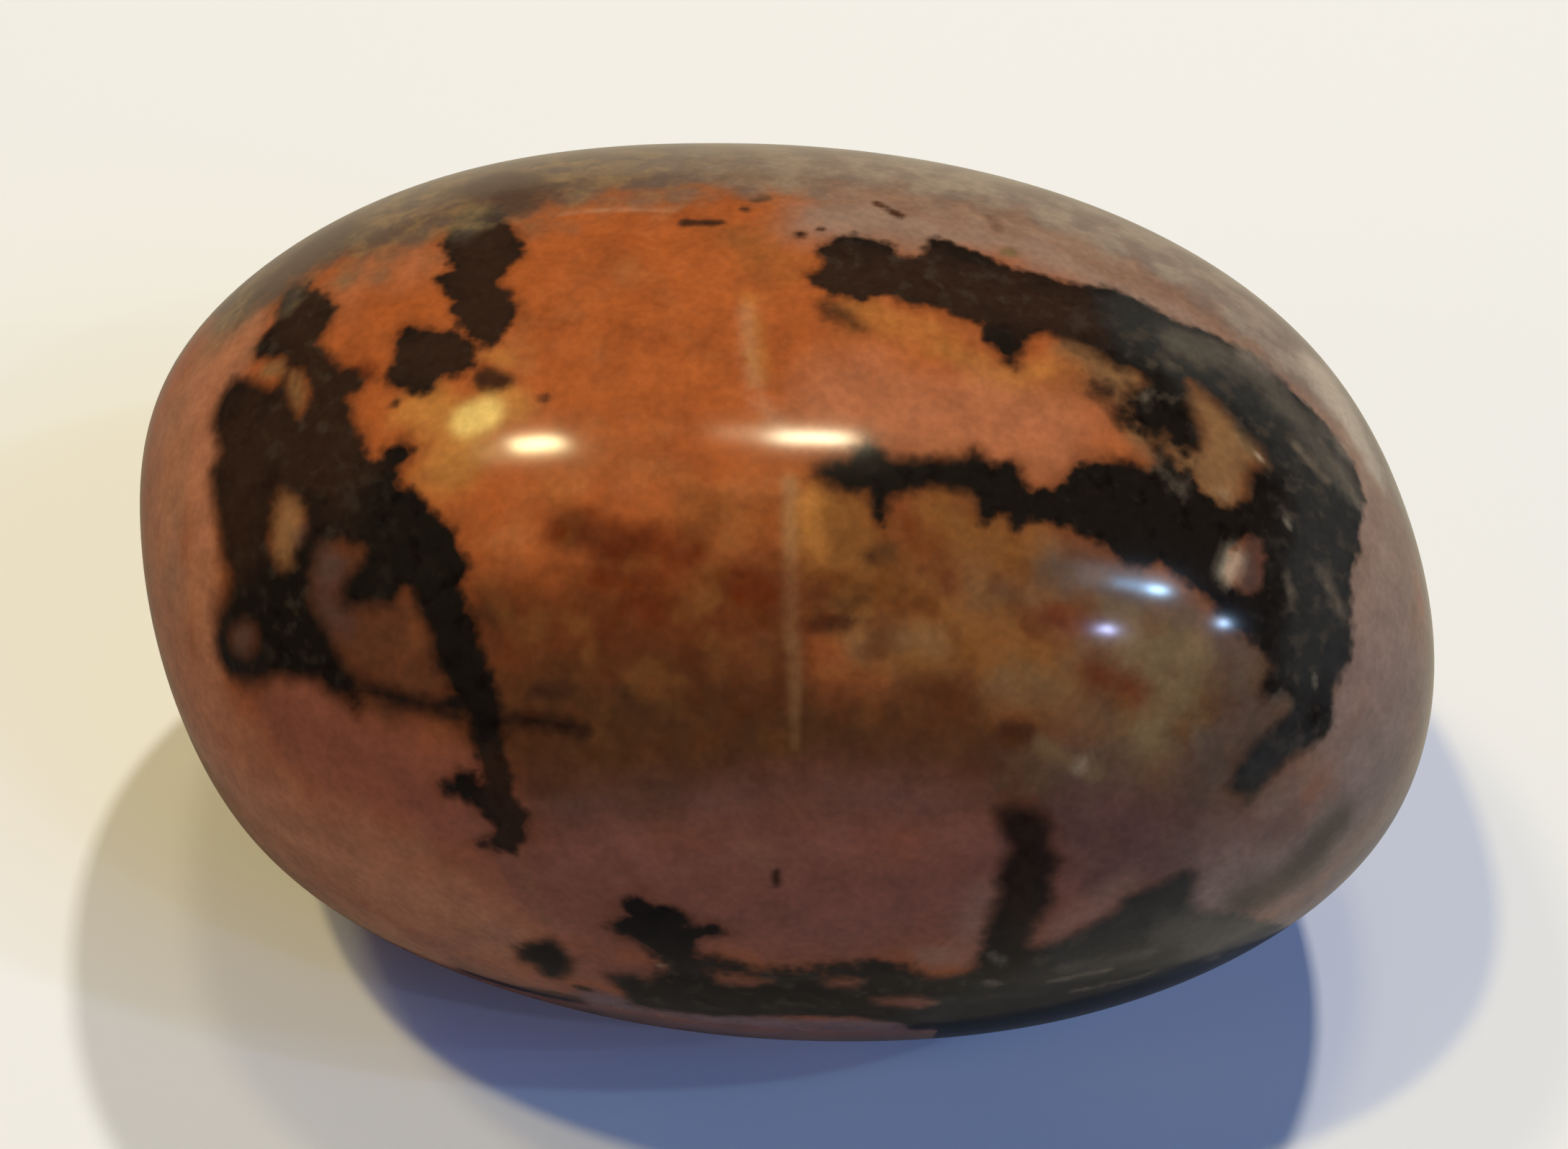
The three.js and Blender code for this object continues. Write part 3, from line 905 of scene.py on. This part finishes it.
def add_sockets(tree, output, **inputs):
    """Gives a shader group its named inputs with their usual values, and its one output."""
    for name, value in inputs.items():
        socket = tree.interface.new_socket(name, in_out="INPUT", socket_type="NodeSocketFloat")
        socket.default_value = value
    tree.interface.new_socket(output, in_out="OUTPUT", socket_type="NodeSocketFloat")
    return add_node(tree, "NodeGroupInput").outputs


def place_in_cells(tree, size, seed):
    """The place on the stone's own axes, counted in cells of a size in mm and shifted by a seed."""
    place = add_node(tree, "ShaderNodeTexCoord").outputs["Object"]
    cells = scale_vector(tree, place, reckon(tree, "DIVIDE", 1 / MM, size))
    return turn_vector(tree, "ADD", cells, reckon(tree, "MULTIPLY", seed, SEED_SHIFT))


def build_cloud_group():
    """Soft clouds of a size in mm: a mask that is 0 below Low and 1 above High."""
    tree = bpy.data.node_groups.new("cloud", "ShaderNodeTree")
    given = add_sockets(tree, "Mask", Size=5.0, Seed=0.0, Low=0.4, High=0.6, Detail=2.0)
    clouds = add_node(tree, "ShaderNodeTexNoise", (place_in_cells(tree, given["Size"], given["Seed"]),))
    put(tree, 1.0, clouds.inputs["Scale"])
    put(tree, given["Detail"], clouds.inputs["Detail"])
    add_node(tree, "NodeGroupOutput", (ramp(tree, clouds, given["Low"], given["High"]),))
    return tree


def build_patch_group():
    """A patch strength made into a mask with a ragged, mottled outline of a size in mm."""
    tree = bpy.data.node_groups.new("patch outline", "ShaderNodeTree")
    given = add_sockets(tree, "Mask", Strength=0.0, Size=2.0, Seed=0.0, Swing=0.9)
    clouds = add_node(tree, "ShaderNodeTexNoise", (place_in_cells(tree, given["Size"], given["Seed"]),))
    put(tree, 1.0, clouds.inputs["Scale"])
    put(tree, EDGE_DETAIL, clouds.inputs["Detail"])
    swing = reckon(tree, "MULTIPLY", reckon(tree, "SUBTRACT", clouds, 0.5), given["Swing"])
    strength = reckon(tree, "ADD", given["Strength"], swing)
    add_node(tree, "NodeGroupOutput", (ramp(tree, strength, PATCH_START, PATCH_FULL),))
    return tree


def build_ragged_group():
    """A depth in mm made into a mask whose edge is ragged, with round lobes and fine teeth."""
    tree = bpy.data.node_groups.new("ragged edge", "ShaderNodeTree")
    given = add_sockets(tree, "Mask", Depth=0.0, Lobe=0.6, Swing=0.4, Softness=0.08)
    lobes = add_node(tree, "ShaderNodeTexVoronoi", (place_in_cells(tree, given["Lobe"], 1.0),))
    put(tree, 1.0, lobes.inputs["Scale"])
    teeth = add_node(tree, "ShaderNodeTexNoise", (place_in_cells(tree, given["Lobe"], 2.0),))
    put(tree, TEETH_PER_LOBE, teeth.inputs["Scale"])
    put(tree, EDGE_DETAIL, teeth.inputs["Detail"])
    swing = reckon(tree, "SUBTRACT", teeth, lobes)
    depth = reckon(tree, "MULTIPLY_ADD", swing, given["Swing"], given["Depth"])
    outer = reckon(tree, "MULTIPLY", given["Softness"], -1.0)
    add_node(tree, "NodeGroupOutput", (ramp(tree, depth, outer, given["Softness"]),))
    return tree


cloud_group = build_cloud_group()
patch_group = build_patch_group()
ragged_group = build_ragged_group()


def place_group(tree, group, **inputs):
    """A shader group placed in a material with its own values."""
    made = add_node(tree, "ShaderNodeGroup", node_tree=group)
    for name, value in inputs.items():
        put(tree, value, made.inputs[name])
    return made


def cloud(tree, name):
    """The mask of one kind of clouds."""
    size, seed, low, high, detail = CLOUDS[name]
    return place_group(tree, cloud_group, Size=size, Seed=seed, Low=low, High=high, Detail=detail)


def lay_over(tree, under, over, mask):
    """One colour laid over another where the mask lets it."""
    made = add_node(tree, "ShaderNodeMix", data_type="RGBA")
    put(tree, mask, made.inputs["Factor"])
    put(tree, under, made.inputs[6])
    put(tree, over, made.inputs[7])
    return made.outputs[2]


def times(tree, *masks):
    """Masks or shares multiplied together."""
    total = masks[0]
    for mask in masks[1:]:
        total = reckon(tree, "MULTIPLY", total, mask)
    return total


LOOSE_MARKS = (
    "broken", "soft edge", "pale", "mottled", "flecked", "vein depth", "crust depth", "hidden")


def paint_patches(tree, colour, marks, kinds, first_seed):
    """Lays each kind of patch over a colour, in order."""
    for seed, (name, (shade, size, _)) in enumerate(kinds.items(), first_seed):
        patch = place_group(tree, patch_group, Strength=marks[name], Size=size, Seed=float(seed))
        colour = lay_over(tree, colour, (*shade, 1), patch)
    return colour


def paint_ground(tree, marks):
    """The stone between the veins: broad colours, patches and mottles, shaded in soft clouds."""
    pinkness = times(tree, cloud(tree, "hidden pink"), marks["hidden"])
    colour = lay_over(tree, ORANGE_BROWN, HIDDEN_PINK, pinkness)
    duskiness = times(tree, cloud(tree, "hidden dusk"), marks["hidden"])
    colour = lay_over(tree, colour, HIDDEN_DUSK, duskiness)
    colour = lay_over(tree, colour, BRICK, times(tree, cloud(tree, "brick"), BRICK_SHARE))
    colour = lay_over(tree, colour, TAN, times(tree, cloud(tree, "tan"), TAN_SHARE))
    colour = paint_patches(tree, colour, marks, GROUND_PATCHES, GROUND_SEED)
    redness = times(tree, cloud(tree, "brick mottles"), marks["mottled"], BRICK_MOTTLE_SHARE)
    colour = lay_over(tree, colour, DARK_BRICK, redness)
    tanness = times(tree, cloud(tree, "tan mottles"), marks["mottled"], TAN_MOTTLE_SHARE)
    colour = lay_over(tree, colour, OLIVE_TAN, tanness)
    shading = cloud(tree, "shading")
    return lay_over(tree, scale_vector(tree, colour, SHADED_BRIGHTNESS), colour, shading)


def stain_edges(tree, colour, marks):
    """The dun fringe under the crust's edge and the rusty halo round the veins."""
    fringe = place_group(tree, ragged_group, **FRINGE_EDGE)
    put(tree, reckon(tree, "ADD", marks["crust depth"], FRINGE_REACH), fringe.inputs["Depth"])
    colour = lay_over(tree, colour, DUN, times(tree, fringe, FRINGE_SHARE))

    halo = place_group(tree, ragged_group, **HALO_EDGE)
    put(tree, reckon(tree, "ADD", marks["vein depth"], HALO_REACH), halo.inputs["Depth"])
    rusted = reckon(tree, "SUBTRACT", HALO_SHARE, times(tree, marks["dusty"], HALO_SHARE))
    return lay_over(tree, colour, RUST, times(tree, halo, rusted))


def paint_veins(tree, colour, marks):
    """The black veins with their own patches and flecks, laid over the ground."""
    whole = reckon(tree, "SUBTRACT", 1.0, marks["broken"])
    depth = reckon(tree, "ADD", times(tree, marks["vein depth"], whole), VEIN_REACH)
    swing = reckon(tree, "MULTIPLY_ADD", marks["broken"], BROKEN_SWING, VEIN_SWING)
    swing = reckon(tree, "MULTIPLY_ADD", marks["soft edge"], SOFT_SWING, swing)
    softness = reckon(tree, "MULTIPLY_ADD", marks["soft edge"], SOFT_SOFTNESS, VEIN_SOFTNESS)
    vein = place_group(tree, ragged_group, Lobe=VEIN_LOBE, Softness=softness)
    put(tree, reckon(tree, "MULTIPLY_ADD", marks["hidden"], HIDDEN_SWING, swing), vein.inputs["Swing"])
    put(tree, depth, vein.inputs["Depth"])
    black = paint_patches(tree, VEIN_BLACK, marks, VEIN_PATCHES, VEIN_SEED)
    flecks = times(tree, cloud(tree, "vein flecks"), marks["flecked"], FLECK_SHARE)
    black = lay_over(tree, black, FLECK_BROWN, flecks)
    return lay_over(tree, colour, black, vein)


def paint_crust(tree, colour, marks):
    """The thin crust, dark and olive on the left and pale grey on the right, laid over the veins."""
    crust = place_group(tree, ragged_group, **CRUST_EDGE)
    put(tree, reckon(tree, "ADD", marks["crust depth"], CRUST_REACH), crust.inputs["Depth"])
    place = add_node(tree, "ShaderNodeTexCoord").outputs["Object"]
    along = add_node(tree, "ShaderNodeSeparateXYZ", (place,)).outputs["X"]
    left_crust = lay_over(tree, DARK_CRUST, OLIVE_CRUST, cloud(tree, "left crust"))
    right_crust = lay_over(tree, GREY_CRUST, PALE_CRUST, cloud(tree, "right crust"))
    rightness = ramp(tree, along, LEFT_CRUST_END, RIGHT_CRUST_START)
    crust_colour = lay_over(tree, left_crust, right_crust, rightness)
    crust_colour = paint_patches(tree, crust_colour, marks, CRUST_PATCHES, CRUST_SEED)
    return lay_over(tree, colour, crust_colour, times(tree, crust, CRUST_SHARE))


def paint_stone(material):
    """The whole finish: one layer of colour after the other, a fine grain, and the polish."""
    tree = material.node_tree
    shader = tree.nodes["Principled BSDF"]
    names = (*GROUND_PATCHES, *VEIN_PATCHES, *CRUST_PATCHES, *LOOSE_MARKS)
    marks = {
        name: add_node(tree, "ShaderNodeAttribute", attribute_name=name).outputs["Fac"]
        for name in names
    }
    colour = paint_ground(tree, marks)
    colour = stain_edges(tree, colour, marks)
    colour = paint_veins(tree, colour, marks)
    colour = paint_crust(tree, colour, marks)
    # The pale marks, painted sparkle among them, lie over all.
    colour = lay_over(tree, colour, PALE, times(tree, marks["pale"], cloud(tree, "pale marks")))
    grain = reckon(tree, "MULTIPLY_ADD", cloud(tree, "grain"), GRAIN_SWING, GRAIN_BRIGHTNESS)
    put(tree, scale_vector(tree, colour, grain), shader.inputs["Base Color"])
    shader.inputs["Roughness"].default_value = POLISH_ROUGHNESS
    shader.inputs["IOR"].default_value = POLISH_IOR


paint_stone(stone_finish)

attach(stone, "root")
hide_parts("rhodonite_stone")

# The floor
# A plain pale sheet, far wider than the stone, so that the polish reflects it on all sides. The polish
# shows it with painted shade, darker than it is and darkest in front, so that its reflection stays dim
# there.
FLOOR_HALF = 3.0
FLOOR_ALBEDO = 0.8
FLOOR_ROUGHNESS = 0.7
TOWARDS_THE_BACK = (0.6, 0.8, 0.0)
FRONT_ENDS = -0.05
BACK_STARTS = 0.04
BACK_IN_POLISH = (0.42, 0.38, 0.30, 1)
FRONT_IN_POLISH = (0.07, 0.07, 0.08, 1)
floor_mesh = bpy.data.meshes.new("floor")
floor_corners = [(x * FLOOR_HALF, y * FLOOR_HALF, 0) for x, y in ((-1, -1), (1, -1), (1, 1), (-1, 1))]
floor_mesh.from_pydata(floor_corners, [], [(0, 1, 2, 3)])
floor = bpy.data.objects.new("floor", floor_mesh)
bpy.context.scene.collection.objects.link(floor)
floor_finish = bpy.data.materials.new("pale_floor")
floor_finish.use_nodes = True
floor_tree = floor_finish.node_tree
floor_shader = floor_tree.nodes["Principled BSDF"]
floor_place = add_node(floor_tree, "ShaderNodeTexCoord").outputs["Object"]
floor_depth = turn_vector(floor_tree, "DOT_PRODUCT", floor_place, TOWARDS_THE_BACK).outputs["Value"]
far_off = ramp(floor_tree, floor_depth, FRONT_ENDS, BACK_STARTS)
in_polish = lay_over(floor_tree, FRONT_IN_POLISH, BACK_IN_POLISH, far_off)
mirrored = add_node(floor_tree, "ShaderNodeLightPath").outputs["Is Glossy Ray"]
floor_colour = lay_over(floor_tree, (FLOOR_ALBEDO, FLOOR_ALBEDO, FLOOR_ALBEDO, 1), in_polish, mirrored)
put(floor_tree, floor_colour, floor_shader.inputs["Base Color"])
floor_shader.inputs["Roughness"].default_value = FLOOR_ROUGHNESS
floor_mesh.materials.append(floor_finish)

# The light
# A small warm lamp high on the left and a small whiter one high behind give the two pale shadows, and
# bluish light from the right and from the room fills the dark one. The lamps that the polish mirrors
# give the glints, some of them with a wider and dimmer one for the haze round a glint.

# Each lamp: the way to it, its size in m, how bright it makes the floor, and its colour. The polish
# mirrors it and it hangs at the usual distance in m, unless it says otherwise.
LAMP_DISTANCE = 2.0
LAMPS = {
    "left_lamp": {
        "towards": (-0.436, 0.161, 0.885), "size": (0.19, 0.10),
        "floor_brightness": 0.10, "colour": (1.0, 0.85, 0.46),
    },
    "left_shade": {
        "towards": (-0.460, 0.130, 0.878), "size": (0.38, 0.16),
        "floor_brightness": 0.020, "colour": (1.0, 0.80, 0.36),
    },
    "left_light": {
        "towards": (-0.281, -0.008, 0.960), "size": (0.035, 0.035), "mirrored": False,
        "floor_brightness": 0.25, "colour": (1.0, 0.83, 0.40), "distance": 0.83,
    },
    "middle_lamp": {
        "towards": (-0.010, 0.258, 0.966), "size": (0.18, 0.08),
        "floor_brightness": 0.08, "colour": (1.0, 0.89, 0.58),
    },
    "middle_shade": {
        "towards": (-0.045, 0.265, 0.963), "size": (0.40, 0.12),
        "floor_brightness": 0.02, "colour": (1.0, 0.87, 0.52),
    },
    "back_light": {
        "towards": (0.138, 0.401, 0.905), "size": (0.024, 0.024), "mirrored": False,
        "floor_brightness": 0.35, "colour": (1.0, 0.97, 0.90), "distance": 0.60,
    },
    "warm_front": {
        "towards": (-0.62, -0.45, 0.64), "size": (0.8, 0.6), "mirrored": False,
        "floor_brightness": 0.024, "colour": (1.0, 0.74, 0.46),
    },
    "blue_side": {
        "towards": (0.70, -0.32, 0.64), "size": (1.1, 0.8), "mirrored": False,
        "floor_brightness": 0.080, "colour": (0.22, 0.55, 1.60),
    },
    "cool_glint": {
        "towards": (0.663, -0.105, 0.741), "size": (0.075, 0.035),
        "floor_brightness": 0.030, "colour": (0.50, 0.85, 1.25),
    },
    "cool_tail": {
        "towards": (0.615, -0.118, 0.780), "size": (0.22, 0.07),
        "floor_brightness": 0.012, "colour": (0.35, 0.80, 1.40),
    },
    "cool_haze": {
        "towards": (0.600, -0.100, 0.794), "size": (0.50, 0.22),
        "floor_brightness": 0.012, "colour": (0.80, 0.95, 1.15),
    },
    "low_cool_glint": {
        "towards": (0.586, -0.341, 0.735), "size": (0.040, 0.03),
        "floor_brightness": 0.018, "colour": (0.65, 0.75, 1.35),
    },
    "right_cool_glint": {
        "towards": (0.809, -0.142, 0.570), "size": (0.03, 0.035),
        "floor_brightness": 0.013, "colour": (0.55, 0.85, 1.30),
    },
}
ROOM_LIGHT = (0.014, 0.026, 0.060, 1)
DARK_ROOM = (0.03, 0.03, 0.035, 1)
BACKDROP = (0.75, 0.75, 0.74, 1)


def hang_lamp(name, towards, size, floor_brightness, colour, mirrored=True, distance=LAMP_DISTANCE):
    """A flat lamp turned to the stone, strong enough to light the floor to the given brightness."""
    lamp = bpy.data.lights.new(name, "AREA")
    lamp.shape = "RECTANGLE"
    lamp.size, lamp.size_y = size
    lamp.color = colour
    lamp.energy = floor_brightness * (math.pi * distance) ** 2 / (FLOOR_ALBEDO * towards[2])
    axis = Vector(towards).normalized()
    side = Vector(camera_right)
    side = (side - side.dot(axis) * axis).normalized()
    hung = bpy.data.objects.new(name, lamp)
    turn = Matrix((side, axis.cross(side), axis)).transposed().to_4x4()
    hung.matrix_world = Matrix.Translation(Vector(STONE_CENTRE) * MM + axis * distance) @ turn
    hung.visible_glossy = mirrored
    bpy.context.scene.collection.objects.link(hung)


for lamp_name, lamp_values in LAMPS.items():
    hang_lamp(lamp_name, **lamp_values)

room = bpy.data.worlds.new("room")
room.use_nodes = True
room_tree = room.node_tree
ray_kinds = add_node(room_tree, "ShaderNodeLightPath").outputs
room_colour = lay_over(room_tree, ROOM_LIGHT, DARK_ROOM, ray_kinds["Is Glossy Ray"])
room_colour = lay_over(room_tree, room_colour, BACKDROP, ray_kinds["Is Camera Ray"])
put(room_tree, room_colour, room_tree.nodes["Background"].inputs["Color"])
bpy.context.scene.world = room
bpy.context.scene.view_settings.view_transform = "Standard"
